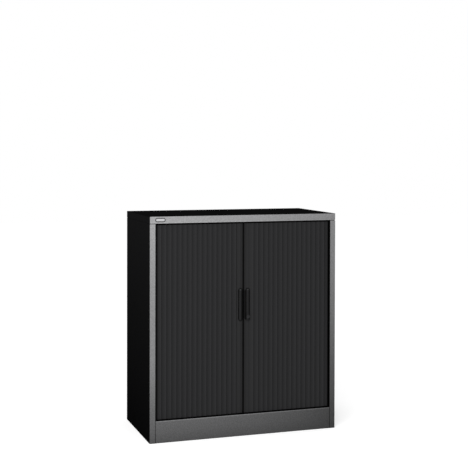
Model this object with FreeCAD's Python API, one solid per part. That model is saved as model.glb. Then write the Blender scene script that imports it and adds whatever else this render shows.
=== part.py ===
import FreeCAD, Part
import math
import os
from FreeCAD import Vector

os.makedirs("parts", exist_ok=True)

# Low steel office cupboard whose two slatted curtains slide apart and round its front corners.
# Millimetres, +Z up, origin on the floor at the middle of the footprint, front towards -Y.

# Whole cupboard
width = 900.0
depth = 460.0
height = 1016.0
sheet = 1.0
thin_sheet = 0.8
fit_gap = 0.3
cut_over = 2.0
place_tolerance = 0.001

# Side panels with their front stiles
stile_width = 26.0
stile_return = 7.0
side_bend_radius = 1.5
back_inset = 1.2
back_flange = 20.0
neck_height = 30.0
neck_rise = 16.0

# Cap tray on top
cap_lip = 31.0
cap_return = 5.5
cap_corner_radius = 2.0
cap_edge_radius = 1.5
lip_edge_radius = 0.6
cap_seam = 2.8

# Plinth below the curtains
plinth_height = 99.0
plinth_top_return = 6.5
plinth_floor_return = 25.0
plinth_end_return = 15.0
plinth_end_height = 60.0
plinth_bend_radius = 1.2
plinth_seam = 0.7

# Inner trays that carry the tracks
floor_drop = 5.0
floor_flange = 30.0
ceiling_drop = 22.0
ceiling_flange = 15.0
back_panel_lift = 20.0
back_panel_tuck = 15.0

# Curtain tracks
slat_recess = 10.0
side_run_inset = 13.0
corner_radius = 33.0
track_wall = 2.0
track_floor = 2.0
top_track_show = 7.0
bottom_track_show = 5.0
slot_half = 4.4
track_back_margin = 14.0
stop_length = 9.0

# Curtain slats, one extrusion used the same way round in both curtains
slat_pitch = 23.6
slat_crest = 3.9
slat_low = 2.4
slat_back = 0.9
bead_radius = 1.3
socket_radius = 1.6
socket_outer = 3.1
neck_half = 0.55
body_start = 3.9
nose_reach = 1.7
nose_depth = 3.3
mouth_front_angle = 28.0
mouth_back_angle = 66.0
slat_foot_gap = 0.5
lift_clearance = 8.5
corner_slats = 4

# Lead slats that carry the handles, which meet a little left of the middle
meeting_middle = -5.6
meeting_half = 3.6
first_hinge = 42.0
left_rib_x = -21.0
right_rib_x = 18.0
lead_rib_drop = 0.9
lead_front = 3.6
lead_back = 3.5
lead_edge_radius = 1.2
tongue_gap = 0.5
tongue_thick = 1.5
placing_passes = 12

# Handles
handle_height = 149.5
handle_middle = 603.3
handle_plate = 2.6
handle_rise = 7.4
left_handle_inner = 9.2
right_handle_inner = 5.2
handle_width = 20.5
pull_inset = 2.8
pull_radius = 4.2
groove_width = 2.4
cover_reach = 7.6
cover_thick = 1.4
boss_width = 18.5
boss_height = 37.0
boss_extra = 0.8
thumb_radius = 4.6
thumb_rise = 0.7

# Lock in the right handle, which turns a hook behind the meeting line
lock_radius = 7.0
lock_rim_radius = 8.0
lock_rim = 1.0
lock_fit = 0.08
key_slot_width = 1.6
key_slot_height = 8.0
key_slot_depth = 1.5
tail_radius = 4.0
tail_fit = 0.05
hook_thick = 2.0
hook_gap = 1.0
hook_half_width = 6.5
hook_catch = 29.5
hook_end = 34.5
keeper_radius = 2.0
keeper_slot_gap = 0.4
keeper_length = 5.0
keeper_flange_radius = 3.4
nut_across = 13.0
lock_nut_thick = 3.0
lock_tail_over = 1.0

# Handle screws, put in from behind
screw_radius = 2.0
screw_hole_gap = 0.2
screw_fit = 0.05
screw_head_radius = 3.8
screw_head = 1.8
screw_bite = 5.0
screw_up = 62.0
screw_down = -13.0

# Inner liners with their clip slots
liner_return = 12.0
clip_slot_width = 12.0
clip_slot_height = 2.8
slot_pitch = 37.5
slot_start = 75.0
front_slot_inset = 55.0
back_slot_inset = 60.0

# Shelves and their clips
shelf_lip = 25.0
shelf_return = 15.0
shelf_front_inset = 8.0
shelf_back_gap = 12.0
shelf_side_gap = 1.5
lower_shelf_rows = 6
upper_shelf_rows = 14
clip_plate = 2.0
clip_reach = 15.0
clip_ear = 14.0
clip_tab = 5.0
clip_side_gap = 0.3

# Levelling feet, their brackets and nuts
foot_inset = 45.0
foot_front_inset = 48.0
pad_radius = 20.0
pad_height = 9.0
pad_edge = 1.5
pad_floor = 3.0
stem_radius = 5.0
stem_top = 80.0
stem_slot = 2.0
stem_fit = 0.08
pad_fit = 0.05
bracket_size = 50.0
bracket_level = 30.0
bracket_plate = 2.5
bracket_hole_gap = 0.6
foot_nut_across = 17.0
foot_nut_height = 8.0

# Badge plate in the cap's front lip
badge_width = 47.0
badge_height = 18.0
badge_edge_gap = 0.4
badge_inset = 25.0
badge_rim = 3.4
badge_dish = 0.3
badge_flange = 2.0
badge_face_inset = 0.1

# Rivets of the back panel
rivet_radius = 1.6
rivet_head_radius = 3.2
rivet_head = 0.9
rivet_count = 6
rivet_margin = 60.0

half_width = width / 2
half_depth = depth / 2
front = -half_depth
side_inner = half_width - sheet
stile_edge = half_width - stile_width
lip_bottom = height - cap_lip
side_top = lip_bottom - cap_seam
ceiling_bottom = height - ceiling_drop
floor_top = plinth_height - floor_drop
flange_back = half_depth - back_inset
panel_back = flange_back - sheet
panel_front = panel_back - thin_sheet
tray_back = panel_front - fit_gap
tray_front = front + sheet + fit_gap
neck_inner = side_inner - sheet
ceiling_front = tray_front + sheet
path_front = front + slat_recess + slat_crest
path_side = half_width - side_run_inset
corner_x = path_side - corner_radius
corner_y = path_front + corner_radius
track_half = slot_half + track_wall
track_end = half_depth - track_back_margin
bottom_track_top = plinth_height + bottom_track_show
top_track_bottom = lip_bottom - top_track_show
slat_bottom = floor_top + track_floor + slat_foot_gap
slat_top = ceiling_bottom - track_floor - lift_clearance
meeting_left = meeting_middle - meeting_half
meeting_right = meeting_middle + meeting_half
front_slats = int((corner_x - first_hinge) / slat_pitch) + 1
lead_face = path_front - lead_front
lead_rear = path_front + lead_back
liner_line = stile_edge
slot_rows = int((ceiling_bottom - floor_top - slot_start * 2) / slot_pitch) + 1
liner_inner = liner_line - sheet
track_inner_radius = corner_radius - track_half
liner_front = corner_y - math.sqrt(track_inner_radius**2 - (liner_line - corner_x) ** 2) + fit_gap
handle_base = lead_face - handle_plate
handle_face = lead_face - handle_rise
left_handle_x = -left_handle_inner - handle_width / 2
right_handle_x = right_handle_inner + handle_width / 2
lock_x = right_handle_x
lock_z = handle_middle - handle_height / 2 + boss_height / 2 + boss_extra
boss_face = handle_face - boss_extra
hook_front = lead_rear + hook_gap
hook_rear = hook_front + hook_thick


def box(x0, x1, y0, y1, z0, z1):
    """Block between two values on each axis."""
    return Part.makeBox(x1 - x0, y1 - y0, z1 - z0, Vector(x0, y0, z0))


def mirrored(shape):
    """The same piece on the other side of the cupboard."""
    return shape.mirror(Vector(0, 0, 0), Vector(1, 0, 0))


def prism(points, z0, z1):
    """Upright prism on an outline seen from above."""
    corners = [Vector(x, y, z0) for x, y in points]
    outline = Part.makePolygon(corners + corners[:1])
    return Part.Face(outline).extrude(Vector(0, 0, z1 - z0))


def edges_at(shape, x=None, y=None, z=None):
    """Edges whose ends all lie at the given coordinates."""
    found = []
    for edge in shape.Edges:
        ends = [(v.X, v.Y, v.Z) for v in edge.Vertexes]
        wanted = (x, y, z)
        misses = [
            abs(end[i] - wanted[i])
            for end in ends
            for i in range(3)
            if wanted[i] is not None
        ]
        if max(misses) < place_tolerance:
            found.append(edge)
    return found


def stadium(middle_x, middle_z, wide, tall, y0, y1):
    """Upright plate with round ends, seen from the front."""
    radius = min(wide, tall) / 2
    straight_x = wide / 2 - radius
    straight_z = tall / 2 - radius
    half_x = straight_x if straight_x > 0 else radius
    half_z = straight_z if straight_z > 0 else radius
    plate = box(middle_x - half_x, middle_x + half_x, y0, y1, middle_z - half_z, middle_z + half_z)
    for sign in (-1, 1):
        centre = Vector(middle_x + sign * straight_x, y0, middle_z + sign * straight_z)
        plate = plate.fuse(Part.makeCylinder(radius, y1 - y0, centre, Vector(0, 1, 0)))
    return plate.removeSplitter()


def rod(radius, x, z, y0, y1):
    """Round rod that runs from front to back."""
    return Part.makeCylinder(radius, y1 - y0, Vector(x, y0, z), Vector(0, 1, 0))


def post(radius, x, y, z0, z1):
    """Round upright rod."""
    return Part.makeCylinder(radius, z1 - z0, Vector(x, y, z0))


def hexagon(across, axis_point, direction, length):
    """Hexagonal bar along Y or Z, for nuts."""
    reach = across / math.sqrt(3)
    corners = []
    for k in range(6):
        turn = math.pi / 3 * k
        along = reach * math.cos(turn)
        over = reach * math.sin(turn)
        offset = Vector(along, 0, over) if direction.y else Vector(along, over, 0)
        corners.append(axis_point + offset)
    outline = Part.makePolygon(corners + corners[:1])
    return Part.Face(outline).extrude(direction * length)


def save(name, *solids):
    """Writes one piece, or a group of equal pieces, as a STEP file."""
    shape = solids[0] if len(solids) == 1 else Part.makeCompound(solids)
    shape.exportStep("parts/" + name + ".step")


def side_panel():
    """Right side: outer sheet, front stile, back flange, and the neck behind the cap's lip."""
    panel = box(side_inner, half_width, front, flange_back, 0, side_top)
    panel = panel.fuse(box(stile_edge, half_width, front, front + sheet, 0, side_top))
    panel = panel.fuse(box(stile_edge, stile_edge + sheet, front, front + stile_return, 0, side_top))
    panel = panel.fuse(box(half_width - back_flange, half_width, panel_back, flange_back, 0, side_top))
    neck_low = side_top - neck_height
    neck = box(neck_inner, side_inner, front + stile_return, tray_back, neck_low, lip_bottom + neck_rise)
    panel = panel.fuse(neck).removeSplitter()
    bends = edges_at(panel, half_width, front) + edges_at(panel, stile_edge, front)
    bends += edges_at(panel, half_width, flange_back)
    panel = panel.makeFillet(side_bend_radius, bends)
    rims = [e for e in edges_at(panel, z=side_top) if e.BoundBox.YMax < front + side_bend_radius * 2]
    rims = [e for e in rims if e.BoundBox.YMin < front + place_tolerance]
    return panel.makeFillet(lip_edge_radius, rims)


def cap_tray():
    """Top: a flat tray turned down all round, with a window for the badge plate in its front lip."""
    cap = box(-half_width, half_width, front, half_depth, lip_bottom, height)
    upright = [e for x in (-half_width, half_width) for y in (front, half_depth) for e in edges_at(cap, x, y)]
    cap = cap.makeFillet(cap_corner_radius, upright)
    cap = cap.makeFillet(cap_edge_radius, edges_at(cap, z=height))
    cap = cap.makeFillet(lip_edge_radius, edges_at(cap, z=lip_bottom))
    hollow = box(
        -side_inner, side_inner, front + sheet, half_depth - sheet, lip_bottom - cut_over, height - sheet
    )
    cap = cap.cut(hollow)
    front_return = box(
        -side_inner, side_inner, front + sheet, front + sheet + cap_return, lip_bottom, lip_bottom + sheet
    )
    cap = cap.fuse(front_return).removeSplitter()
    window = stadium(
        badge_x(), badge_z(), badge_width + badge_edge_gap * 2, badge_height + badge_edge_gap * 2,
        front - cut_over, front + sheet
    )
    return cap.cut(window)


def badge_x():
    """Middle of the badge plate, measured from the cap's left end."""
    return -half_width + badge_inset + badge_width / 2


def badge_z():
    """The badge plate sits at half the lip's height."""
    return height - cap_lip / 2


def badge_plate():
    """Bare plate with a raised rim, clipped into the window from behind."""
    face = front + badge_face_inset
    plate = stadium(badge_x(), badge_z(), badge_width, badge_height, face, front + sheet)
    flange = stadium(
        badge_x(), badge_z(), badge_width + badge_flange * 2, badge_height + badge_flange * 2,
        front + sheet, front + sheet * 2
    )
    plate = plate.fuse(flange).removeSplitter()
    dish = stadium(
        badge_x(), badge_z(), badge_width - badge_rim * 2, badge_height - badge_rim * 2,
        face - cut_over, face + badge_dish
    )
    return plate.cut(dish)


def plinth():
    """Panel between the stiles below the curtains, turned in at its top, foot and ends."""
    end = stile_edge - plinth_seam
    panel = box(-end, end, front, front + sheet, 0, plinth_height)
    panel = panel.fuse(
        box(-end, end, front, front + plinth_top_return, plinth_height - sheet, plinth_height)
    )
    panel = panel.fuse(box(-end, end, front, front + plinth_floor_return, 0, sheet))
    for x in (-end, end - sheet):
        panel = panel.fuse(box(x, x + sheet, front, front + plinth_end_return, 0, plinth_end_height))
    panel = panel.removeSplitter()
    bends = edges_at(panel, y=front, z=plinth_height) + edges_at(panel, y=front, z=0)
    return panel.makeFillet(plinth_bend_radius, bends)


def floor_tray():
    """Floor of the storage space, turned down all round and notched behind the stiles."""
    reach = side_inner - fit_gap
    tray = box(-reach, reach, tray_front, tray_back, floor_top - floor_flange, floor_top)
    tray = tray.cut(
        box(
            -reach + sheet, reach - sheet, tray_front + sheet, tray_back - sheet,
            floor_top - floor_flange - cut_over, floor_top - sheet
        )
    )
    for sign in (-1, 1):
        near = sign * (stile_edge - fit_gap * 2)
        far = sign * (half_width + cut_over)
        notch = box(
            min(near, far), max(near, far), front - cut_over, front + stile_return + fit_gap,
            floor_top - floor_flange - cut_over, floor_top + cut_over
        )
        tray = tray.cut(notch)
    return tray


def ceiling_tray():
    """Ceiling of the storage space, turned up all round inside the cap."""
    reach = neck_inner - fit_gap
    tray = box(-reach, reach, ceiling_front, tray_back, ceiling_bottom, ceiling_bottom + ceiling_flange)
    hollow = box(
        -reach + sheet, reach - sheet, ceiling_front + sheet, tray_back - sheet,
        ceiling_bottom + sheet, ceiling_bottom + ceiling_flange + cut_over
    )
    return tray.cut(hollow)


def rivet_levels():
    """Heights of the rivets down each back flange."""
    low = back_panel_lift + rivet_margin
    high = side_top - rivet_margin
    step = (high - low) / (rivet_count - 1)
    return [low + step * k for k in range(rivet_count)]


def rivet_places():
    """Rivets in both back flanges."""
    across = half_width - back_flange / 2
    return [(sign * across, level) for sign in (-1, 1) for level in rivet_levels()]


def back_sheet():
    """Back panel, held inside the side panels' flanges."""
    reach = neck_inner - fit_gap
    panel = box(-reach, reach, panel_front, panel_back, back_panel_lift, lip_bottom + back_panel_tuck)
    for x, z in rivet_places():
        panel = panel.cut(rod(rivet_radius, x, z, panel_front - cut_over, panel_back + cut_over))
    return panel


def riveted(panel, sign):
    """Side panel with the rivet holes of its back flange."""
    for x, z in rivet_places():
        if x * sign > 0:
            panel = panel.cut(rod(rivet_radius, x, z, panel_back - cut_over, flange_back + cut_over))
    return panel


def rivets():
    """Blind rivets with low round heads behind the flange."""
    made = []
    for x, z in rivet_places():
        head = rod(rivet_head_radius, x, z, flange_back, flange_back + rivet_head)
        shank = rod(rivet_radius, x, z, panel_front, flange_back)
        made.append(head.fuse(shank).removeSplitter())
    return made


def band(inner, outer, z0, z1):
    """Right half of a wall that follows the curtain's path, between two offsets from it."""
    back = track_end
    shapes = []
    for offset in (outer, inner):
        reach = corner_radius + offset
        shape = box(0, corner_x, path_front - offset, corner_y, z0, z1)
        shape = shape.fuse(post(reach, corner_x, corner_y, z0, z1))
        shape = shape.fuse(box(corner_x, path_side + offset, corner_y, back, z0, z1))
        shapes.append(shape.fuse(box(0, corner_x, corner_y, back, z0, z1)))
    return shapes[0].cut(shapes[1]).removeSplitter()


def track(z0, z1, slot0, slot1):
    """Right half of a moulded track: a channel round the corner and down the side."""
    channel = band(-track_half, track_half, z0, z1)
    slot = band(-slot_half, slot_half, slot0, slot1)
    return channel.cut(slot)


def bottom_track():
    """Track on the floor tray, open upwards."""
    return track(floor_top, bottom_track_top, floor_top + track_floor, bottom_track_top + cut_over)


def top_track():
    """Track under the ceiling tray, open downwards and deep enough to lift the curtain out."""
    slot_ceiling = ceiling_bottom - track_floor
    return track(top_track_bottom, ceiling_bottom, top_track_bottom - cut_over, slot_ceiling)


def track_stops():
    """Small blocks that close the rear ends of the slots."""
    made = []
    half = slot_half - fit_gap
    levels = (
        (floor_top + track_floor, bottom_track_top),
        (top_track_bottom, ceiling_bottom - track_floor),
    )
    for z0, z1 in levels:
        block = box(path_side - half, path_side + half, track_end - stop_length, track_end, z0, z1)
        made.append(block)
        made.append(mirrored(block))
    return made


def path_point(travel):
    """Point of the right curtain's path at a distance from the cupboard's middle."""
    turn = (travel - corner_x) / corner_radius
    if turn <= 0:
        return (travel, path_front)
    if turn < math.pi / 2:
        return (corner_x + corner_radius * math.sin(turn), corner_y - corner_radius * math.cos(turn))
    rest = travel - corner_x - corner_radius * math.pi / 2
    return (path_side, corner_y + rest)


def hinge_points(count):
    """Slat joints along the path, each one pitch from the last in a straight line."""
    travel = first_hinge
    points = [path_point(travel)]
    for k in range(count):
        last = points[-1]
        travel += slat_pitch
        for step in range(placing_passes):
            here = path_point(travel)
            travel += slat_pitch - math.hypot(here[0] - last[0], here[1] - last[1])
        points.append(path_point(travel))
    return points


def bead(z0, z1):
    """Round bead and neck on a slat's left edge."""
    neck = box(0, body_start, -neck_half, neck_half, z0, z1)
    return post(bead_radius, 0, 0, z0, z1).fuse(neck)


def socket(x, z0, z1):
    """Round socket on a slat's right edge, with a mouth that lets the next neck swing backwards."""
    reach = socket_outer + cut_over
    low = math.radians(-mouth_front_angle)
    high = math.radians(mouth_back_angle)
    mouth = [(x, 0), (x + reach * math.cos(low), reach * math.sin(low)), (x + reach, reach * math.sin(low))]
    mouth += [(x + reach, reach), (x + reach * math.cos(high), reach)]
    ring = post(socket_outer, x, 0, z0, z1).cut(post(socket_radius, x, 0, z0 - cut_over, z1 + cut_over))
    return ring, prism(mouth, z0 - cut_over, z1 + cut_over)


def slat():
    """One slat in its own frame: bead at the origin, socket one pitch to the right, front towards -Y."""
    z0 = slat_bottom
    z1 = slat_top
    ring, mouth = socket(slat_pitch, z0, z1)
    nose = slat_pitch + nose_reach
    outline = [
        (body_start, slat_back),
        (body_start, -slat_low + neck_half),
        (body_start + neck_half, -slat_low),
        (slat_pitch - nose_reach, -slat_crest),
        (slat_pitch + neck_half, -slat_crest),
        (nose, -nose_depth),
        (nose, -neck_half * 2),
        (slat_pitch, 0),
        (slat_pitch - socket_radius, slat_back),
    ]
    plate = prism(outline, z0, z1)
    hole = post(socket_radius, slat_pitch, 0, z0 - cut_over, z1 + cut_over)
    body = plate.cut(hole).fuse(ring).cut(mouth)
    return body.fuse(bead(z0, z1)).removeSplitter()


def placed(shape, start, end):
    """A slat moved so that its bead is at start and its socket at end."""
    turn = math.degrees(math.atan2(end[1] - start[1], end[0] - start[0]))
    moved = shape.copy()
    moved.rotate(Vector(0, 0, 0), Vector(0, 0, 1), turn)
    moved.translate(Vector(start[0], start[1], 0))
    return moved


def right_slats(first, last):
    """Slats of the right curtain by number, counted from the lead slat."""
    points = hinge_points(last)
    shape = slat()
    return [placed(shape, points[k], points[k + 1]) for k in range(first, last)]


def left_slats(first, last):
    """Slats of the left curtain by number: the path is mirrored, the extrusion isn't."""
    points = [(-x, y) for x, y in hinge_points(last)]
    shape = slat()
    return [placed(shape, points[k + 1], points[k]) for k in range(first, last)]


def lead_body(x0, x1):
    """Thick extruded bar of a lead slat."""
    bar = box(x0, x1, lead_face, lead_rear, slat_bottom, slat_top)
    edge = x1 if abs(x1) < abs(x0) else x0
    rounds = edges_at(bar, edge, lead_face) + edges_at(bar, edge, lead_rear)
    return bar.makeFillet(lead_edge_radius, rounds)


def screw_levels():
    """Heights of the two screws of each handle."""
    return (handle_middle + screw_down, handle_middle + screw_up)


def left_lead():
    """Left lead slat: bar with a bead on its left edge and holes for the handle and keeper."""
    hinge = -first_hinge
    hook = bead(slat_bottom, slat_top)
    hook.translate(Vector(hinge, path_front, 0))
    lead = lead_body(hinge + body_start, meeting_left).fuse(hook)
    lead = lead.cut(lead_rib(left_rib_x, meeting_left)).cut(lead_rib(hinge, left_rib_x)).removeSplitter()
    for z in screw_levels():
        lead = lead.cut(rod(screw_radius + screw_hole_gap, left_handle_x, z, lead_face, lead_rear))
    return lead.cut(rod(keeper_radius, keeper_x(), lock_z, lead_face + sheet, lead_rear))


def lead_rib(x0, x1):
    """Upright step and slope cut in a lead slat, so that its face is ribbed as the curtain is."""
    cut_face = lead_face - cut_over
    corners = [(x0, cut_face), (x1, cut_face), (x1, lead_face), (x0, lead_face + lead_rib_drop)]
    return prism(corners, slat_bottom - cut_over, slat_top + cut_over)


def right_lead():
    """Right lead slat: bar with a socket on its right edge and a tongue across the meeting gap."""
    ring, mouth = socket(0, slat_bottom, slat_top)
    for shape in (ring, mouth):
        shape.translate(Vector(first_hinge, path_front, 0))
    nose = first_hinge + nose_reach
    bar = lead_body(meeting_right, nose).cut(lead_rib(right_rib_x, nose))
    bar = bar.cut(box(first_hinge, nose + cut_over, path_front, lead_rear + cut_over, slat_bottom, slat_top))
    tongue = box(
        meeting_left + tongue_gap, first_hinge - socket_outer,
        lead_rear - tongue_thick, lead_rear, slat_bottom, slat_top
    )
    bar = bar.fuse(tongue)
    hole = post(socket_radius, first_hinge, path_front, slat_bottom - cut_over, slat_top + cut_over)
    lead = bar.cut(hole).fuse(ring).cut(mouth).removeSplitter()
    for z in screw_levels():
        lead = lead.cut(rod(screw_radius + screw_hole_gap, right_handle_x, z, lead_face, lead_rear))
    return lead.cut(rod(lock_radius + lock_fit, lock_x, lock_z, lead_face - cut_over, lead_rear + cut_over))


def pull(middle_x):
    """Moulded handle: a round-ended plate with a raised pull along it."""
    plate = stadium(middle_x, handle_middle, handle_width, handle_height, handle_base, lead_face)
    bar_width = handle_width - pull_inset * 2
    bar_height = handle_height - pull_inset * 2
    bar = stadium(middle_x, handle_middle, bar_width, bar_height, handle_face, lead_face)
    bar = bar.makeFillet(pull_radius, edges_at(bar, y=handle_face))
    return plate.fuse(bar).removeSplitter()


def screw_holes(handle, middle_x):
    """Blind holes for the handle's screws."""
    for z in screw_levels():
        handle = handle.cut(rod(screw_radius + screw_fit, middle_x, z, lead_face - screw_bite, lead_face))
    return handle


def left_handle():
    """Left handle, with a low thumb pip near its foot."""
    handle = pull(left_handle_x)
    pip = rod(thumb_radius, left_handle_x, lock_z, handle_face - thumb_rise, lead_face)
    pip = pip.makeFillet(thumb_rise, edges_at(pip, y=handle_face - thumb_rise))
    return screw_holes(handle.fuse(pip).removeSplitter(), left_handle_x)


def right_handle():
    """Right handle, with the cover over the meeting gap and the boss for the lock."""
    handle = pull(right_handle_x)
    cover_edge = right_handle_inner - cover_reach
    cover = box(
        cover_edge, right_handle_x, handle_base - cover_thick, handle_base,
        handle_middle - handle_height / 2 + handle_width / 2,
        handle_middle + handle_height / 2 - handle_width / 2
    )
    cover = cover.makeFillet(cover_thick / 2, edges_at(cover, cover_edge, handle_base - cover_thick))
    groove = box(
        right_handle_inner + pull_inset - groove_width, right_handle_inner + pull_inset,
        handle_base - cover_thick, handle_base,
        handle_middle - handle_height / 2, handle_middle + handle_height / 2
    )
    handle = handle.fuse(cover.cut(groove))
    boss = stadium(lock_x, lock_z, boss_width, boss_height, boss_face, lead_face)
    boss = boss.makeFillet(boss_extra, edges_at(boss, y=boss_face))
    handle = handle.fuse(boss).removeSplitter()
    bore = rod(lock_radius + lock_fit, lock_x, lock_z, boss_face - cut_over, lead_face + cut_over)
    return screw_holes(handle.cut(bore), right_handle_x)


def handle_screws(middle_x):
    """Pan-head screws that hold a handle from behind the lead slat."""
    made = []
    for z in screw_levels():
        head = rod(screw_head_radius, middle_x, z, lead_rear, lead_rear + screw_head)
        shank = rod(screw_radius, middle_x, z, lead_face - screw_bite + fit_gap, lead_rear)
        made.append(head.fuse(shank).removeSplitter())
    return made


def lock_barrel():
    """Lock barrel with a rim, a key slot and a tail for the hook."""
    rim_back = boss_face - lock_fit
    barrel = rod(lock_rim_radius, lock_x, lock_z, rim_back - lock_rim, rim_back)
    barrel = barrel.fuse(rod(lock_radius, lock_x, lock_z, rim_back, hook_front - fit_gap / 2))
    tail_end = hook_rear + lock_nut_thick + lock_tail_over
    barrel = barrel.fuse(rod(tail_radius, lock_x, lock_z, rim_back, tail_end)).removeSplitter()
    slot_face = rim_back - lock_rim
    slot = box(
        lock_x - key_slot_width / 2, lock_x + key_slot_width / 2,
        slot_face - cut_over, slot_face + key_slot_depth,
        lock_z - key_slot_height / 2, lock_z + key_slot_height / 2
    )
    return barrel.cut(slot)


def keeper_x():
    """The keeper stands one catch length from the lock, behind the left lead slat."""
    return lock_x - hook_catch


def lock_hook():
    """Flat hook that hangs down when unlocked; its curved slot closes on the keeper."""
    arm = box(
        lock_x - hook_half_width, lock_x + hook_half_width, hook_front, hook_rear, lock_z - hook_end, lock_z
    )
    arm = arm.fuse(rod(hook_half_width, lock_x, lock_z, hook_front, hook_rear))
    half = keeper_radius + keeper_slot_gap
    ring = rod(hook_catch + half, lock_x, lock_z, hook_front, hook_rear)
    ring = ring.cut(rod(hook_catch - half, lock_x, lock_z, hook_front, hook_rear))
    slot = ring.common(
        box(
            lock_x - hook_end, lock_x + half, hook_front, hook_rear,
            lock_z - hook_end - cut_over, lock_z
        )
    )
    arm = arm.cut(slot)
    hole = rod(tail_radius + tail_fit, lock_x, lock_z, hook_front - cut_over, hook_rear + cut_over)
    return arm.cut(hole).removeSplitter()


def lock_nut():
    """Nut that clamps the hook to the barrel's tail."""
    nut = hexagon(nut_across, Vector(lock_x, hook_rear, lock_z), Vector(0, 1, 0), lock_nut_thick)
    return nut.cut(rod(tail_radius + tail_fit, lock_x, lock_z, hook_rear - cut_over, hook_rear + nut_across))


def keeper():
    """Shouldered pin behind the left lead slat that the hook closes on."""
    pin_end = hook_rear + fit_gap * 2
    pin = rod(keeper_radius, keeper_x(), lock_z, lead_rear - keeper_length, pin_end)
    shoulder_end = hook_front - fit_gap
    shoulder = rod(keeper_flange_radius, keeper_x(), lock_z, lead_rear, shoulder_end)
    return pin.fuse(shoulder).removeSplitter()


def slot_level(row):
    """Height of the underside of a shelf held in a row of clip slots."""
    return floor_top + slot_start + slot_pitch * row


def slot_lines():
    """Places along the depth where the clip slots stand."""
    return (liner_front + front_slot_inset, tray_back - back_slot_inset)


def liner():
    """Right inner liner between the storage space and the curtain's side run."""
    panel = box(liner_inner, liner_line, liner_front, tray_back, floor_top, ceiling_bottom)
    for y in (liner_front, tray_back - sheet):
        panel = panel.fuse(
            box(liner_line - liner_return, liner_line, y, y + sheet, floor_top, ceiling_bottom)
        )
    panel = panel.removeSplitter()
    for row in range(slot_rows):
        top = slot_level(row) + (clip_slot_height - clip_plate) / 2
        for y in slot_lines():
            slot = box(
                liner_inner - cut_over, liner_line + cut_over,
                y - clip_slot_width / 2, y + clip_slot_width / 2, top - clip_slot_height, top
            )
            panel = panel.cut(slot)
    return panel


def shelf(row):
    """Shelf with its front and back edges turned down and in."""
    reach = liner_inner - shelf_side_gap
    y0 = liner_front + shelf_front_inset
    y1 = tray_back - shelf_back_gap
    under = slot_level(row)
    top = under + sheet
    low = top - shelf_lip
    plate = box(-reach, reach, y0, y1, under, top)
    for near, far in ((y0, y0 + sheet), (y1 - sheet, y1)):
        plate = plate.fuse(box(-reach, reach, near, far, low, top))
    plate = plate.fuse(box(-reach, reach, y0, y0 + shelf_return, low, low + sheet))
    plate = plate.fuse(box(-reach, reach, y1 - shelf_return, y1, low, low + sheet))
    return plate.removeSplitter()


def shelf_clips(row):
    """Four clips that hook through the liners and carry one shelf."""
    made = []
    top = slot_level(row)
    half = clip_slot_width / 2 - clip_side_gap
    tab_near = liner_line + fit_gap
    tab_far = tab_near + clip_plate / 2
    ear_far = liner_inner - fit_gap
    for y in slot_lines():
        clip = box(liner_inner - clip_reach, tab_far, y - half, y + half, top - clip_plate, top)
        clip = clip.fuse(box(ear_far - clip_plate, ear_far, y - half, y + half, top - clip_ear, top))
        clip = clip.fuse(box(tab_near, tab_far, y - half, y + half, top - clip_plate - clip_tab, top))
        clip = clip.removeSplitter()
        made.append(clip)
        made.append(mirrored(clip))
    return made


def foot_places():
    """Named plan positions of the four levelling feet."""
    x = half_width - foot_inset
    y_front = front + foot_front_inset
    y_back = tray_back - foot_inset
    return (
        ("front_left", -x, y_front),
        ("front_right", x, y_front),
        ("back_left", -x, y_back),
        ("back_right", x, y_back),
    )


def foot_pad(x, y):
    """Round pad with a seat for the stem."""
    pad = post(pad_radius, x, y, 0, pad_height)
    pad = pad.makeFillet(pad_edge, edges_at(pad, z=pad_height))
    return pad.cut(post(stem_radius + pad_fit, x, y, pad_floor, pad_height + cut_over))


def foot_stem(x, y):
    """Threaded stem, drawn plain, with a screwdriver slot in its top."""
    stem = post(stem_radius, x, y, pad_floor, stem_top)
    slot = box(
        x - stem_radius * 2, x + stem_radius * 2, y - stem_slot / 2, y + stem_slot / 2,
        stem_top - stem_slot, stem_top + cut_over
    )
    return stem.cut(slot)


def foot_bracket(x, y):
    """Channel under the floor tray that holds the foot's nut."""
    half = bracket_size / 2
    top = floor_top - sheet
    channel = box(x - half, x + half, y - half, y + half, bracket_level, top)
    hollow = box(
        x - half - cut_over, x + half + cut_over, y - half + bracket_plate, y + half - bracket_plate,
        bracket_level + bracket_plate, top + cut_over
    )
    hole = post(stem_radius + bracket_hole_gap, x, y, bracket_level - cut_over, top)
    return channel.cut(hollow).cut(hole)


def foot_nut(x, y):
    """Nut welded inside the bracket."""
    level = bracket_level + bracket_plate
    nut = hexagon(foot_nut_across, Vector(x, y, level), Vector(0, 0, 1), foot_nut_height)
    return nut.cut(post(stem_radius + stem_fit, x, y, level - cut_over, level + foot_nut_height + cut_over))


def build_carcass():
    """Steel shell, inner trays, liners, shelves and small trim."""
    right = side_panel()
    save("right_side_panel", riveted(right, 1))
    save("left_side_panel", riveted(mirrored(right), -1))
    save("top_panel", cap_tray())
    save("badge_plate", badge_plate())
    save("front_plinth", plinth())
    save("floor_panel", floor_tray())
    save("ceiling_panel", ceiling_tray())
    save("back_panel", back_sheet())
    save("back_rivets", *rivets())
    save("right_inner_liner", liner())
    save("left_inner_liner", mirrored(liner()))
    for name, row in (("lower_shelf", lower_shelf_rows), ("upper_shelf", upper_shelf_rows)):
        save(name, shelf(row))
        save(name + "_clips", *shelf_clips(row))


def build_tracks():
    """Four track halves and the blocks in their rear ends."""
    for level, piece in (("bottom", bottom_track()), ("top", top_track())):
        save("right_" + level + "_track", piece)
        save("left_" + level + "_track", mirrored(piece))
    save("track_stops", *track_stops())


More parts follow.
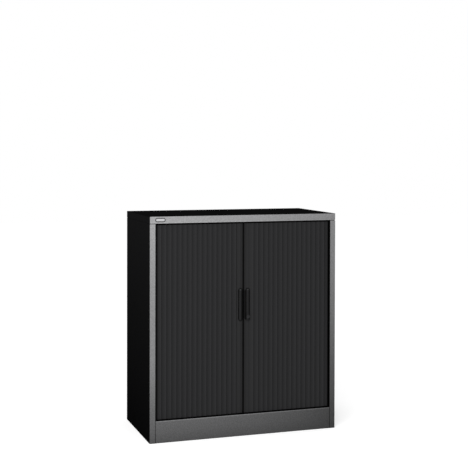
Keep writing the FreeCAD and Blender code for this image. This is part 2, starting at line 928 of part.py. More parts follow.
def build_curtains():
    """Front slats of each curtain, the slats already round the corner, and the lead slats."""
    total = front_slats + corner_slats
    save("right_curtain", *right_slats(0, front_slats))
    save("left_curtain", *left_slats(0, front_slats))
    save("right_corner_slats", *right_slats(front_slats, total))
    save("left_corner_slats", *left_slats(front_slats, total))
    save("left_lead_slat", left_lead())
    save("right_lead_slat", right_lead())


def build_handles():
    """Handles with their screws, the lock and its keeper."""
    save("left_handle", left_handle())
    save("right_handle", right_handle())
    save("left_handle_screws", *handle_screws(left_handle_x))
    save("right_handle_screws", *handle_screws(right_handle_x))
    save("lock_barrel", lock_barrel())
    save("lock_hook", lock_hook())
    save("lock_nut", lock_nut())
    save("lock_keeper", keeper())


def build_feet():
    """Four adjustable feet under the floor tray."""
    for name, x, y in foot_places():
        save(name + "_foot_pad", foot_pad(x, y))
        save(name + "_foot_stem", foot_stem(x, y))
        save(name + "_foot_bracket", foot_bracket(x, y))
        save(name + "_foot_nut", foot_nut(x, y))


build_carcass()
build_tracks()
build_curtains()
build_handles()
build_feet()
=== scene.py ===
import math

import bmesh
import bpy
from mathutils import Matrix, Vector


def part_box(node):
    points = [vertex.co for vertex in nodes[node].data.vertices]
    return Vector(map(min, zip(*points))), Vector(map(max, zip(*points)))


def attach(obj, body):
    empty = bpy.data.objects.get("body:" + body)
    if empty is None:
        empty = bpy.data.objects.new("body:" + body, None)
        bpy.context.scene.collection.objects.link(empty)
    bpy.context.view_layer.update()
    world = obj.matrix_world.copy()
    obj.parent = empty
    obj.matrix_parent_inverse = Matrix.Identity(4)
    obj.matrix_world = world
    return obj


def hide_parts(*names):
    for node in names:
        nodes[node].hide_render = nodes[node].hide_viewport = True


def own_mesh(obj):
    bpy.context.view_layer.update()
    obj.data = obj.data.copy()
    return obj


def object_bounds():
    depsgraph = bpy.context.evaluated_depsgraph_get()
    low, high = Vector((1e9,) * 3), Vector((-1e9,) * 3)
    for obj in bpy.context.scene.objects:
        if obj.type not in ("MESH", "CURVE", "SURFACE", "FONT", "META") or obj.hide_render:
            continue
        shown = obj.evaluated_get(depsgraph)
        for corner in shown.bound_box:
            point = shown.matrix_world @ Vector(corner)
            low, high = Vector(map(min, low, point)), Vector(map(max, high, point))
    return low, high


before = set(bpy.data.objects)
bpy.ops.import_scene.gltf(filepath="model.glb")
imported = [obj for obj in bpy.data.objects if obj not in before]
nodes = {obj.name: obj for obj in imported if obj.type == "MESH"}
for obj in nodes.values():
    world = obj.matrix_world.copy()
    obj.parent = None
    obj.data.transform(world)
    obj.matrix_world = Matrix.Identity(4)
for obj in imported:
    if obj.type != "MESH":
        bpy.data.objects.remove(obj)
cad_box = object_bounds()


# Shell: cap tray, side panels, plinth and back sheet of 1 mm steel, folded and powder-coated. A black
# ripple coat covers all of it. What faces the room is painted a pale graphite grey as painted light for
# the light from the front, painted paler towards the top left; the black is painted paler towards the
# top as painted light. The folded edges get painted highlights, and the seams beside the plinth painted
# shadows.
shell_low, shell_high = cad_box
front_plane = shell_low[1]
ripple_size = 1300.0

# A grain is a size, a spread and a mottle, and a bump is a strength and a distance. Four numbers spread
# a value from the first two to the last two.
shell_grain = (ripple_size, 0.25, 0.75)
shell_bump = (0.5, 0.0005)
shell_roughness = (0.0, 1.0, 0.7, 0.55)
# Painted light: the front faces are painted this pale grey, though the coat is one black paint all over.
front_lit_grey = (0.355, 0.355, 0.36)
front_lit_skin = 0.0003
front_lit_end = 0.0006
painted_light_bend = (0.1, 0.95, 2.6, 1.25)
black_paint = (0.0042, 0.0042, 0.0043)

# Painted light, paler towards the top: each stop is a share of the height and a tone.
painted_light_left = (
    (0.0, 0.25), (0.05, 0.33), (0.19, 0.455), (0.35, 0.63), (0.63, 0.73), (0.8, 0.82), (0.98, 0.97),
)
painted_light_right = (
    (0.0, 0.15), (0.1, 0.18), (0.35, 0.305), (0.63, 0.485), (0.8, 0.565), (0.91, 0.59), (0.97, 0.62),
    (1.0, 0.68),
)
black_painted_light_by_height = ((0.0, 0.75), (0.15, 0.95), (0.56, 1.5), (0.93, 2.2), (0.998, 2.3), (1.0, 1.3))

# Painted highlights on the folded edges and painted shadows in the plinth seams: each is a place, a width
# and a gain.
plinth_low, plinth_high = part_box("front_plinth")
lip_painted_highlight = (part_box("top_panel")[0].z, 0.006, 0.12)
plinth_painted_highlight = (plinth_high.z, 0.0045, 0.85)
plinth_painted_seam_shadows = ((plinth_low.x, 0.003, -0.4), (plinth_high.x, 0.003, -0.5))

# Each grain layer is a share of the grain's size and a detail.
grain_layers = ((1.0, 2.0), (0.16, 1.0))
noise_middle = 0.5
edge_power = 2.0

# Sockets of a Mix node that is set to mix colours.
first_colour, second_colour, colour_out = 6, 7, 2


def new_material(name):
    """A material with its node tree and shader."""
    material = bpy.data.materials.new(name)
    material.use_nodes = True
    tree = material.node_tree
    return material, tree, tree.nodes["Principled BSDF"]


def maths(tree, operation, *values):
    """A Math node on plain values or sockets."""
    node = tree.nodes.new("ShaderNodeMath")
    node.operation = operation
    for socket, value in zip(node.inputs, values):
        if isinstance(value, bpy.types.NodeSocket):
            tree.links.new(value, socket)
        else:
            socket.default_value = value
    return node.outputs[0]


def product(tree, first, *others):
    """Values and sockets multiplied together."""
    for other in others:
        first = maths(tree, "MULTIPLY", first, other)
    return first


def gained(tree, tone, mask, gain):
    """A tone raised or lowered by a gain where a mask is one."""
    return product(tree, tone, maths(tree, "ADD", product(tree, mask, gain), 1.0))


def spread_value(tree, value, low, high, out_low=0.0, out_high=1.0):
    """A value spread from one range to another and held at its ends."""
    node = tree.nodes.new("ShaderNodeMapRange")
    tree.links.new(value, node.inputs["Value"])
    for name, number in (("From Min", low), ("From Max", high), ("To Min", out_low), ("To Max", out_high)):
        node.inputs[name].default_value = number
    return node.outputs["Result"]


def place_on_piece(tree):
    """Object coordinates as a vector and as three values."""
    place = tree.nodes.new("ShaderNodeTexCoord").outputs["Object"]
    split = tree.nodes.new("ShaderNodeSeparateXYZ")
    tree.links.new(place, split.inputs[0])
    return place, split.outputs


def tone_by_level(tree, level, stops):
    """A grey ramp over a value from zero to one."""
    ramp = tree.nodes.new("ShaderNodeValToRGB")
    tree.links.new(level, ramp.inputs[0])
    marks = ramp.color_ramp.elements
    marks[0].position = stops[0][0]
    marks[1].position = stops[-1][0]
    for place, tone in stops[1:-1]:
        marks.new(place)
    for mark, (place, tone) in zip(marks, stops):
        mark.color = (tone, tone, tone, 1.0)
    return ramp.outputs["Color"]


def toned(tree, colour, factor):
    """A colour times a value."""
    node = tree.nodes.new("ShaderNodeVectorMath")
    node.operation = "SCALE"
    node.inputs[0].default_value = colour
    tree.links.new(factor, node.inputs["Scale"])
    return node.outputs[0]


def mixed(tree, factor, first, second):
    """Two colours mixed by a mask."""
    node = tree.nodes.new("ShaderNodeMix")
    node.data_type = "RGBA"
    tree.links.new(factor, node.inputs["Factor"])
    tree.links.new(first, node.inputs[first_colour])
    tree.links.new(second, node.inputs[second_colour])
    return node.outputs[colour_out]


def raised(tree, shader, height, strength, distance):
    """Feeds a height to the shader's normal through a Bump node."""
    node = tree.nodes.new("ShaderNodeBump")
    node.inputs["Strength"].default_value = strength
    node.inputs["Distance"].default_value = distance
    tree.links.new(height, node.inputs["Height"])
    tree.links.new(node.outputs[0], shader.inputs["Normal"])


def reflects(tree, shader, level, roughness, specular=0.5, metallic=0.0):
    """Roughness, plain or spread over a level as four limits, with the specular and metallic shares."""
    if isinstance(roughness, tuple):
        tree.links.new(spread_value(tree, level, *roughness), shader.inputs["Roughness"])
    else:
        shader.inputs["Roughness"].default_value = roughness
    shader.inputs["Specular IOR Level"].default_value = specular
    shader.inputs["Metallic"].default_value = metallic


def new_group(name, vectors, inputs, outputs):
    """A shader node group with its sockets, its inlet and its outlet."""
    group = bpy.data.node_groups.new(name, "ShaderNodeTree")
    for socket in vectors:
        group.interface.new_socket(socket, in_out="INPUT", socket_type="NodeSocketVector")
    for names, way in ((inputs, "INPUT"), (outputs, "OUTPUT")):
        for socket in names:
            group.interface.new_socket(socket, in_out=way, socket_type="NodeSocketFloat")
    return group, group.nodes.new("NodeGroupInput").outputs, group.nodes.new("NodeGroupOutput").inputs


def grain_group():
    """Surface grain: fine and coarse noise, put out as a height and as a shade about one."""
    inputs = ["Size", "Spread", "Mottle"]
    group, inlet, outlet = new_group("surface_grain", ["Vector"], inputs, ["Height", "Shade"])
    noises = []
    for share, detail in grain_layers:
        noise = group.nodes.new("ShaderNodeTexNoise")
        noise.inputs["Detail"].default_value = detail
        group.links.new(inlet["Vector"], noise.inputs["Vector"])
        group.links.new(product(group, inlet["Size"], share), noise.inputs["Scale"])
        noises.append(maths(group, "SUBTRACT", noise.outputs[0], noise_middle))
    fine = product(group, noises[0], inlet["Spread"])
    coarse = product(group, noises[1], inlet["Mottle"])
    both = maths(group, "ADD", fine, coarse)
    group.links.new(noises[0], outlet["Height"])
    group.links.new(maths(group, "ADD", both, 1.0), outlet["Shade"])
    return group


def edge_group():
    """Edge mask: one at a place, fading to nothing within a width of it."""
    group, inlet, outlet = new_group("edge_mask", [], ["Place", "Edge", "Width"], ["Mask"])
    away = maths(group, "ABSOLUTE", maths(group, "SUBTRACT", inlet["Place"], inlet["Edge"]))
    share = maths(group, "MINIMUM", maths(group, "DIVIDE", away, inlet["Width"]), 1.0)
    group.links.new(maths(group, "SUBTRACT", 1.0, maths(group, "POWER", share, edge_power)), outlet["Mask"])
    return group


surface_grain = grain_group()
edge_mask = edge_group()


def grain_on(tree, vector, size, spread, mottle):
    """The surface grain in one material, with its own size and strengths."""
    node = tree.nodes.new("ShaderNodeGroup")
    node.node_tree = surface_grain
    tree.links.new(vector, node.inputs["Vector"])
    for name, value in (("Size", size), ("Spread", spread), ("Mottle", mottle)):
        node.inputs[name].default_value = value
    return node.outputs["Height"], node.outputs["Shade"]


def edge_on(tree, place, edge, width):
    """The edge mask in one material."""
    node = tree.nodes.new("ShaderNodeGroup")
    node.node_tree = edge_mask
    tree.links.new(place, node.inputs["Place"])
    node.inputs["Edge"].default_value = edge
    node.inputs["Width"].default_value = width
    return node.outputs["Mask"]


def shell_coat():
    """Black ripple coat, painted pale grey in the front plane, with painted light, highlights and shadows.
    """
    material, tree, shader = new_material("shell_coat")
    place, axes = place_on_piece(tree)
    height, shade = grain_on(tree, place, *shell_grain)
    level = spread_value(tree, axes["Z"], 0.0, shell_high[2])
    bend = spread_value(tree, level, *painted_light_bend)
    across = maths(tree, "POWER", spread_value(tree, axes["X"], shell_low[0], shell_high[0]), bend)
    # Painted light: the front grey pales towards the top left.
    left = tone_by_level(tree, level, painted_light_left)
    right = tone_by_level(tree, level, painted_light_right)
    tone = product(tree, mixed(tree, across, left, right), shade)
    on_plinth = maths(tree, "LESS_THAN", maths(tree, "ABSOLUTE", axes["X"]), plinth_high.x)
    low_down = maths(tree, "LESS_THAN", axes["Z"], plinth_high.z)
    # Painted highlights on the folds and painted shadows in the plinth seams.
    marks = [(axes["Z"], lip_painted_highlight, 1.0), (axes["Z"], plinth_painted_highlight, on_plinth)]
    marks += [(axes["X"], seam, low_down) for seam in plinth_painted_seam_shadows]
    for axis, (edge, width, gain), where in marks:
        tone = gained(tree, tone, product(tree, edge_on(tree, axis, edge, width), where), gain)
    front_lit = toned(tree, front_lit_grey, tone)
    # Painted light: the black pales towards the top.
    black = toned(tree, black_paint, product(tree, tone_by_level(tree, level, black_painted_light_by_height), shade))
    # The front plane gets the painted light grey.
    in_front = spread_value(tree, axes["Y"], front_plane + front_lit_end, front_plane + front_lit_skin)
    tree.links.new(mixed(tree, in_front, black, front_lit), shader.inputs["Base Color"])
    reflects(tree, shader, in_front, shell_roughness, specular=0.0)
    raised(tree, shader, height, *shell_bump)
    return material


def painted(material, names):
    """Gives CAD nodes one material."""
    for name in names:
        nodes[name].data.materials.clear()
        nodes[name].data.materials.append(material)


painted(shell_coat(), ("top_panel", "left_side_panel", "right_side_panel", "front_plinth", "back_panel"))


# Inner trays, liners, shelves and foot brackets: the same folded steel in a satin black coat, a little
# paler than the shell. They are seen from below and when the curtains are open.
inner_black = (0.018, 0.018, 0.0185)
inner_grain = (ripple_size, 0.3, 0.3)
inner_bump = (0.35, 0.0003)
inner_roughness = (0.85, 1.15, 0.5, 0.62)
inner_specular = 0.3


def plain_coat(name, colour, grain, bump, roughness, specular=0.5, metallic=0.0):
    """One colour under its surface grain, which also gives the bump and may spread the roughness."""
    material, tree, shader = new_material(name)
    height, shade = grain_on(tree, place_on_piece(tree)[0], *grain)
    tree.links.new(toned(tree, colour, shade), shader.inputs["Base Color"])
    reflects(tree, shader, shade, roughness, specular, metallic)
    if bump:
        raised(tree, shader, height, *bump)
    return material


inner_coat = plain_coat("inner_coat", inner_black, inner_grain, inner_bump, inner_roughness, inner_specular)
painted(inner_coat, ("floor_panel", "ceiling_panel", "left_inner_liner", "right_inner_liner"))
painted(inner_coat, ("lower_shelf", "upper_shelf"))
painted(inner_coat, [name for name in nodes if name.endswith("foot_bracket")])


# Small steel: shelf clips, back rivets, handle screws, the lock's hook, nut and keeper, and the stems
# and nuts of the feet. All are pressed or turned and zinc-plated, bright with a cloudy tone.
zinc_tone = (0.42, 0.42, 0.43)
zinc_grain = (600.0, 0.25, 0.6)
zinc_bump = (0.1, 0.0001)
zinc_roughness = (0.8, 1.2, 0.28, 0.5)

zinc_plate = plain_coat("zinc_plate", zinc_tone, zinc_grain, zinc_bump, zinc_roughness, metallic=1.0)
painted(zinc_plate, ("lower_shelf_clips", "upper_shelf_clips", "back_rivets"))
painted(zinc_plate, ("left_handle_screws", "right_handle_screws", "lock_hook", "lock_nut", "lock_keeper"))
painted(zinc_plate, [name for name in nodes if name.endswith(("foot_stem", "foot_nut"))])


# Tracks with their stops, and the pads of the feet: moulded black nylon and rubber, matt, with the fine
# grain of the mould.
track_black = (0.0022, 0.0022, 0.0022)
track_grain = (2200.0, 0.5, 0.2)
track_bump = (0.3, 0.0002)
track_roughness = 0.8

track_coat = plain_coat("track_plastic", track_black, track_grain, track_bump, track_roughness, specular=0.0)
painted(track_coat, [name for name in nodes if "track" in name or name.endswith("foot_pad")])


# Curtains: upright slats of extruded charcoal plastic, each hooked into the next, running in the tracks
# along the front and round the corners. Both curtains use one extrusion, which stands out towards its
# right edge.
slat_pitch = 0.0236
slat_start = 0.002
slat_joint = 0.0003
slat_crest = 0.0039
slat_low = 0.0022
slat_back = 0.0031
slat_nose = 0.0011
slat_foot = slat_nose / 3
slat_bow = (slat_crest - slat_low) / 4
slat_steps = 10
nose_steps = 4
slat_charcoal = (0.0205, 0.0205, 0.0215)
slat_grain = (3000.0, 0.2, 0.06)
slat_draw_lines = (2600.0, 0.16, 0.0)
slat_draw_scale = (1.0, 1.0, 0.0)
slat_bump = (0.2, 0.0002)
slat_roughness = 0.55
slat_specular = 0.08
# Painted shading: each slat is painted paler towards its raised right edge.
slat_painted_shading = (0.62, 1.27)
# Painted shadow: slats past the front are painted dark where they run behind the stiles.
slat_painted_shadow_shift = 0.0025
slat_painted_shadow_range = (0.4125, 0.4145, 1.0, 0.06)
first_hinge = 0.042
front_slats = 16
corner_start = 0.404
corner_radius = 0.033
index_room = 0.5
row_sockets = (
    ("Slats", "Int"), ("Pitch", "Float"), ("Start", "Vector"), ("Outermost", "Int"), ("Turn", "Float"),
    ("Shift", "Vector"), ("Finish", "Material"),
)


def slat_plastic():
    """Charcoal plastic with fine upright draw lines. Painted shading makes each slat paler towards its
    standing edge, and painted shadow darkens the slats behind the stiles.
    """
    material, tree, shader = new_material("slat_plastic")
    place, axes = place_on_piece(tree)
    drawn = tree.nodes.new("ShaderNodeMapping")
    drawn.inputs["Scale"].default_value = slat_draw_scale
    tree.links.new(place, drawn.inputs["Vector"])
    lines, line_shade = grain_on(tree, drawn.outputs[0], *slat_draw_lines)
    height, shade = grain_on(tree, place, *slat_grain)
    rise = tree.nodes.new("ShaderNodeAttribute")
    rise.attribute_name = "across_slat"
    # Painted shading across each slat.
    lean = spread_value(tree, rise.outputs["Fac"], 0.0, 1.0, *slat_painted_shading)
    # Painted shadow behind the stiles.
    aside = maths(tree, "ABSOLUTE", maths(tree, "SUBTRACT", axes["X"], slat_painted_shadow_shift))
    tone = product(tree, lean, shade, line_shade, spread_value(tree, aside, *slat_painted_shadow_range))
    tree.links.new(toned(tree, slat_charcoal, tone), shader.inputs["Base Color"])
    reflects(tree, shader, shade, slat_roughness, slat_specular)
    raised(tree, shader, maths(tree, "ADD", lines, height), *slat_bump)
    return material


def slat_section():
    """A slat seen from above, from its left back corner round the front to its right back corner."""
    left = slat_start
    right = slat_start + slat_pitch - slat_joint
    points = [(left, slat_back), (left, -slat_low + slat_nose), (left + slat_foot, -slat_low)]
    for step in range(1, slat_steps):
        share = step / slat_steps
        along = left + (right - slat_nose - left) * share
        bow = math.sin(math.pi * share) * slat_bow
        points.append((along, -slat_low - (slat_crest - slat_low) * share - bow))
    for step in range(nose_steps + 1):
        turn = math.pi / 2 * step / nose_steps
        along = right - slat_nose * (1 - math.sin(turn))
        points.append((along, -slat_crest + slat_nose * (1 - math.cos(turn))))
    points.append((right, slat_back))
    return points


def slat_mesh(low, high):
    """One closed slat about its own joint, with each point's share of the way across as an attribute."""
    outline = slat_section()
    form = bmesh.new()
    across = form.verts.layers.float.new("across_slat")
    rings = []
    for z in (low, high):
        ring = [form.verts.new((x, y, z)) for x, y in outline]
        for corner, (x, y) in zip(ring, outline):
            corner[across] = (x - slat_start) / slat_pitch
        rings.append(ring)
    for k in range(len(outline)):
        after = (k + 1) % len(outline)
        form.faces.new((rings[0][k], rings[0][after], rings[1][after], rings[1][k]))
    form.faces.new(rings[0][::-1])
    form.faces.new(rings[1])
    bmesh.ops.recalc_face_normals(form, faces=form.faces)
    mesh = bpy.data.meshes.new("slat")
    form.to_mesh(mesh)
    form.free()
    return mesh


def turned_slat(side):
    """How far the outermost front slat, which has begun to round the corner, moves and turns."""
    far = first_hinge + slat_pitch * front_slats
    turn = (far - corner_start) / corner_radius
    back = corner_radius * (1 - math.cos(turn))
    along = corner_start + corner_radius * math.sin(turn) - far
    lean = math.asin(back / slat_pitch)
    return (Vector((0.0, 0.0, 0.0)), lean) if side > 0 else (Vector((-along, back, 0.0)), -lean)


def slat_row_tree():
    """Geometry Nodes: repeats the slat along the curtain at a pitch, with the outermost slat turned."""
    tree = bpy.data.node_groups.new("slat_row", "GeometryNodeTree")
    sockets = tree.interface
    sockets.new_socket("Slat", in_out="INPUT", socket_type="NodeSocketGeometry")
    inputs = {}
    for name, kind in row_sockets:
        inputs[name] = sockets.new_socket(name, in_out="INPUT", socket_type="NodeSocket" + kind).identifier
    sockets.new_socket("Curtain", in_out="OUTPUT", socket_type="NodeSocketGeometry")
    inlet = tree.nodes.new("NodeGroupInput").outputs
    row = tree.nodes.new("GeometryNodeMeshLine")
    step = tree.nodes.new("ShaderNodeCombineXYZ")
    number = tree.nodes.new("GeometryNodeInputIndex")
    outermost = maths(tree, "COMPARE", number.outputs[0], inlet["Outermost"], index_room)
    shift = tree.nodes.new("ShaderNodeVectorMath")
    shift.operation = "SCALE"
    moved = tree.nodes.new("GeometryNodeSetPosition")
    turn = tree.nodes.new("ShaderNodeCombineXYZ")
    copies = tree.nodes.new("GeometryNodeInstanceOnPoints")
    real = tree.nodes.new("GeometryNodeRealizeInstances")
    finish = tree.nodes.new("GeometryNodeSetMaterial")
    outlet = tree.nodes.new("NodeGroupOutput")
    for output, socket in (
        (inlet["Slats"], row.inputs["Count"]),
        (inlet["Pitch"], step.inputs["X"]),
        (step.outputs[0], row.inputs["Offset"]),
        (inlet["Start"], row.inputs["Start Location"]),
        (inlet["Shift"], shift.inputs[0]),
        (outermost, shift.inputs["Scale"]),
        (row.outputs[0], moved.inputs["Geometry"]),
        (shift.outputs[0], moved.inputs["Offset"]),
        (moved.outputs[0], copies.inputs["Points"]),
        (product(tree, outermost, inlet["Turn"]), turn.inputs["Z"]),
        (turn.outputs[0], copies.inputs["Rotation"]),
        (inlet["Slat"], copies.inputs["Instance"]),
        (copies.outputs[0], real.inputs[0]),
        (real.outputs[0], finish.inputs["Geometry"]),
        (inlet["Finish"], finish.inputs["Material"]),
        (finish.outputs[0], outlet.inputs[0]),
    ):
        tree.links.new(output, socket)
    return tree, inputs


slat_row, row_inputs = slat_row_tree()
slat_material = slat_plastic()
for hand, side, hinge in (("left", -1, -first_hinge - slat_pitch * front_slats), ("right", 1, first_hinge)):
    low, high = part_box(hand + "_curtain")
    shift, turn = turned_slat(side)
    curtain = bpy.data.objects.new(hand + "_curtain_slats", slat_mesh(low.z, high.z))
    bpy.context.scene.collection.objects.link(curtain)
    row = curtain.modifiers.new("slat_row", "NODES")
    row.node_group = slat_row
    for name, value in (
        ("Slats", front_slats),
        ("Pitch", slat_pitch),
        ("Start", (hinge, low.y + slat_crest, 0.0)),
        ("Outermost", 0 if side < 0 else front_slats - 1),
        ("Turn", turn),
        ("Shift", shift),
        ("Finish", slat_material),
    ):
        row[row_inputs[name]] = value
    bpy.context.view_layer.update()
    finished = bpy.data.meshes.new_from_object(curtain.evaluated_get(bpy.context.evaluated_depsgraph_get()))
    curtain.modifiers.clear()
    curtain.data = finished
    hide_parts(hand + "_curtain")
    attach(curtain, "cabinet")
    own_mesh(curtain)


# Slats that are already round the corners: the same extrusion, with the bead of each turned in the
# socket of the last, in the same plastic, whose painted shadow darkens them behind the stiles.
painted(slat_material, ("left_corner_slats", "right_corner_slats"))


# Lead slats: a thick extruded bar of the same plastic at the head of each curtain, ribbed as the curtain
# is, with painted shading across the ribs. The sides of the gap between them are painted black as painted
# shadow, and so is the thin shadow round the handles.
lead_charcoal = (0.0275, 0.0275, 0.0285)
lead_edge = 0.044
# Painted shading across the lead slats: lit ribs, and a painted shadow in the gap.
lead_painted_shading = (
    (0.023, 0.66), (0.25, 0.82), (0.267, 0.66), (0.38, 0.52), (0.393, 0.12), (0.479, 0.12), (0.492, 0.52),
    (0.69, 0.82), (0.71, 0.66), (0.99, 0.92),
)
lead_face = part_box("left_lead_slat")[0].y
meeting_middle = -0.0056
# Painted shadow on the faces behind the gap.
gap_painted_shadow = (0.0012, 0.0012, 0.0012)
gap_reach = 0.01
gap_depth = (0.0011, 0.0016)


def lead_plastic():
    """Charcoal plastic with painted shading, painted black as shadow behind the front faces beside the gap.
    """
    material, tree, shader = new_material("lead_plastic")
    place, axes = place_on_piece(tree)
    height, shade = grain_on(tree, place, *slat_grain)
    across = spread_value(tree, axes["X"], -lead_edge, lead_edge)
    face = toned(tree, lead_charcoal, product(tree, tone_by_level(tree, across, lead_painted_shading), shade))
    from_gap = maths(tree, "ABSOLUTE", maths(tree, "SUBTRACT", axes["X"], meeting_middle))
    behind = spread_value(tree, axes["Y"], lead_face + gap_depth[0], lead_face + gap_depth[1])
    behind = product(tree, behind, maths(tree, "LESS_THAN", from_gap, gap_reach))
    tree.links.new(mixed(tree, behind, face, toned(tree, gap_painted_shadow, shade)), shader.inputs["Base Color"])
    reflects(tree, shader, shade, slat_roughness, slat_specular)
    raised(tree, shader, height, *slat_bump)
    return material


painted(lead_plastic(), ("left_lead_slat", "right_lead_slat"))


# Handles: black moulded pulls screwed to the lead slats from behind. A thin flange lies on the slat,
# painted near black as its shadow, and the raised pull has rounded, slightly shiny shoulders, with painted
# shading across them and a painted highlight at the top.
handle_black = (0.017, 0.017, 0.0174)
handle_grain = (2600.0, 0.3, 0.1)
handle_bump = (0.15, 0.0001)
handle_roughness = (0.85, 1.15, 0.32, 0.45)
handle_specular = 0.03
handle_end = 0.03
# Painted shading across both handles: lit shoulders, shaded sides and inner walls.
handle_painted_shading = (
    (0.02, 0.5), (0.04, 1.35), (0.15, 1.15), (0.27, 0.03), (0.4, 0.03), (0.46, 0.4), (0.55, 0.4),
    (0.57, 0.15), (0.605, 0.15), (0.63, 1.0), (0.73, 1.1), (0.87, 0.3),
)
handle_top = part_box("left_handle")[1].z
# Painted shadow on the flange.
flange_painted_shadow = (0.002, 0.002, 0.002)
flange_thick = 0.0026
flange_fade = 0.001
# Painted highlight along the top of each pull.
painted_highlight_drop = 0.0045
painted_highlight_width = 0.004
painted_highlight_gain = 2.0


def handle_plastic():
    """Black moulded plastic with a soft sheen, painted shadow on the flange and inner walls, painted
    highlight at the top.
    """
    material, tree, shader = new_material("handle_plastic")
    place, axes = place_on_piece(tree)
    height, shade = grain_on(tree, place, *handle_grain)
    across = spread_value(tree, axes["X"], -handle_end, handle_end)
    # Painted highlight at the top of the pull.
    top_highlight = edge_on(tree, axes["Z"], handle_top - painted_highlight_drop, painted_highlight_width)
    tone = product(tree, tone_by_level(tree, across, handle_painted_shading), shade)
    tone = gained(tree, tone, top_highlight, painted_highlight_gain)
    # Painted shadow on the flange.
    flange = lead_face - flange_thick
    low = spread_value(tree, axes["Y"], flange - flange_fade, flange)
    colour = mixed(tree, low, toned(tree, handle_black, tone), toned(tree, flange_painted_shadow, shade))
    tree.links.new(colour, shader.inputs["Base Color"])
    reflects(tree, shader, shade, handle_roughness, handle_specular)
    raised(tree, shader, height, *handle_bump)
    return material


painted(handle_plastic(), ("left_handle", "right_handle"))


# Lock barrel: a die-cast cylinder with a rim and a key slot, plated in dark nickel. It goes through the
# right handle and lead slat and is held by its nut behind them.
lock_tone = (0.028, 0.028, 0.029)
lock_grain = (1500.0, 0.4, 0.2)
lock_roughness = (0.85, 1.15, 0.25, 0.4)

lock_plate = plain_coat("lock_plate", lock_tone, lock_grain, None, lock_roughness, metallic=1.0)
painted(lock_plate, ("lock_barrel",))


# Badge plate: a bare pressed plate of silver aluminium with rounded ends and a raised dark rim, clipped
# into the front lip of the cap.
badge_silver = (0.52, 0.52, 0.53)
badge_rim_grey = (0.012, 0.012, 0.0125)
badge_grain = (1500.0, 0.15, 0.1)
badge_roughness = 0.35
badge_specular = 0.3
badge_rim = 0.0034
badge_rim_fade = 0.0002
badge_half_width = 0.0235
badge_half_height = 0.009


def badge_finish():
    """Brushed silver inside a dark rim."""
    material, tree, shader = new_material("badge_finish")
    low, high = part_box("badge_plate")
    place, axes = place_on_piece(tree)
    shade = grain_on(tree, place, *badge_grain)[1]
    across = maths(tree, "ABSOLUTE", maths(tree, "SUBTRACT", axes["X"], (low.x + high.x) / 2))
    past_x = maths(tree, "SUBTRACT", across, badge_half_width - badge_half_height)
    past_x = maths(tree, "MAXIMUM", past_x, 0.0)
    past_z = maths(tree, "ABSOLUTE", maths(tree, "SUBTRACT", axes["Z"], (low.z + high.z) / 2))
    squares = maths(tree, "ADD", maths(tree, "POWER", past_x, 2.0), maths(tree, "POWER", past_z, 2.0))
    rim_start = badge_half_height - badge_rim
    from_middle = maths(tree, "SQRT", squares)
    rim = spread_value(tree, from_middle, rim_start - badge_rim_fade, rim_start + badge_rim_fade)
    colour = mixed(tree, rim, toned(tree, badge_silver, shade), toned(tree, badge_rim_grey, shade))
    tree.links.new(colour, shader.inputs["Base Color"])
    reflects(tree, shader, shade, badge_roughness, badge_specular)
    return material


painted(badge_finish(), ("badge_plate",))


# Studio: a white floor, an even sky and one large lamp to the upper left, with the camera where the
# photograph was taken.
white = (1.0, 1.0, 1.0, 1.0)
floor_half = 14.0
floor_tone = 0.9
floor_glow = 0.48
sky_light = 0.6
lamp_power = 90.0
lamp_size = 2.4
lamp_place = Vector((-1.9, -3.4, 2.6))
lamp_aim = Vector((0.0, -0.2, 0.5))
camera_place = Vector((-1.59145, -4.80425, 1.32049))
camera_yaw = math.radians(18.561)
camera_pitch = math.radians(-0.825)
camera_roll = math.radians(0.128)
camera_lens = 81.271
frame_size = 468.0
frame_rise = 70.206


def seen_directly(tree):
    """One for what the camera, metal and glass see."""
    paths = tree.nodes.new("ShaderNodeLightPath").outputs
    seen = maths(tree, "MAXIMUM", paths["Is Camera Ray"], paths["Is Glossy Ray"])
    return maths(tree, "MAXIMUM", seen, paths["Is Transmission Ray"])


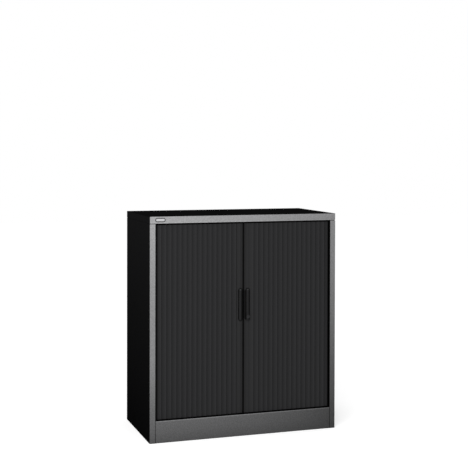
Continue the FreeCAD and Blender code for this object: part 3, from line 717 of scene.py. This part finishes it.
def studio_sky():
    """Even grey light, white where it is seen."""
    world = bpy.data.worlds.new("studio_sky")
    world.use_nodes = True
    tree = world.node_tree
    light = tree.nodes["Background"]
    light.inputs["Color"].default_value = white
    light.inputs["Strength"].default_value = sky_light
    seen = tree.nodes.new("ShaderNodeBackground")
    seen.inputs["Color"].default_value = white
    mix = tree.nodes.new("ShaderNodeMixShader")
    tree.links.new(seen_directly(tree), mix.inputs["Fac"])
    tree.links.new(light.outputs[0], mix.inputs[1])
    tree.links.new(seen.outputs[0], mix.inputs[2])
    tree.links.new(mix.outputs[0], tree.nodes["World Output"].inputs["Surface"])
    return world


def floor_white():
    """White floor that keeps a soft shadow."""
    material, tree, shader = new_material("floor_white")
    shader.inputs["Base Color"].default_value = (floor_tone, floor_tone, floor_tone, 1.0)
    shader.inputs["Roughness"].default_value = 1.0
    shader.inputs["Specular IOR Level"].default_value = 0.0
    shader.inputs["Emission Color"].default_value = white
    tree.links.new(product(tree, seen_directly(tree), floor_glow), shader.inputs["Emission Strength"])
    return material


bpy.context.scene.world = studio_sky()
floor = bpy.data.objects.new("floor", bpy.data.meshes.new("floor"))
corners = [(x * floor_half, y * floor_half, 0.0) for x, y in ((-1, -1), (1, -1), (1, 1), (-1, 1))]
floor.data.from_pydata(corners, [], [(0, 1, 2, 3)])
floor.data.materials.append(floor_white())
bpy.context.scene.collection.objects.link(floor)

lamp = bpy.data.objects.new("lamp", bpy.data.lights.new("lamp", "AREA"))
lamp.data.energy = lamp_power
lamp.data.size = lamp_size
lamp.location = lamp_place
lamp.rotation_euler = (lamp_aim - lamp_place).to_track_quat("-Z", "Y").to_euler()
bpy.context.scene.collection.objects.link(lamp)

camera = bpy.data.objects.new("camera", bpy.data.cameras.new("camera"))
camera.data.lens = camera_lens
camera.data.shift_y = -frame_rise / frame_size
turn = Matrix.Rotation(-camera_yaw, 4, "Z") @ Matrix.Rotation(math.pi / 2 + camera_pitch, 4, "X")
turn = turn @ Matrix.Rotation(camera_roll, 4, "Z")
camera.matrix_world = Matrix.Translation(camera_place) @ turn
bpy.context.scene.collection.objects.link(camera)
bpy.context.scene.camera = camera
bpy.context.scene.view_settings.view_transform = "Standard"
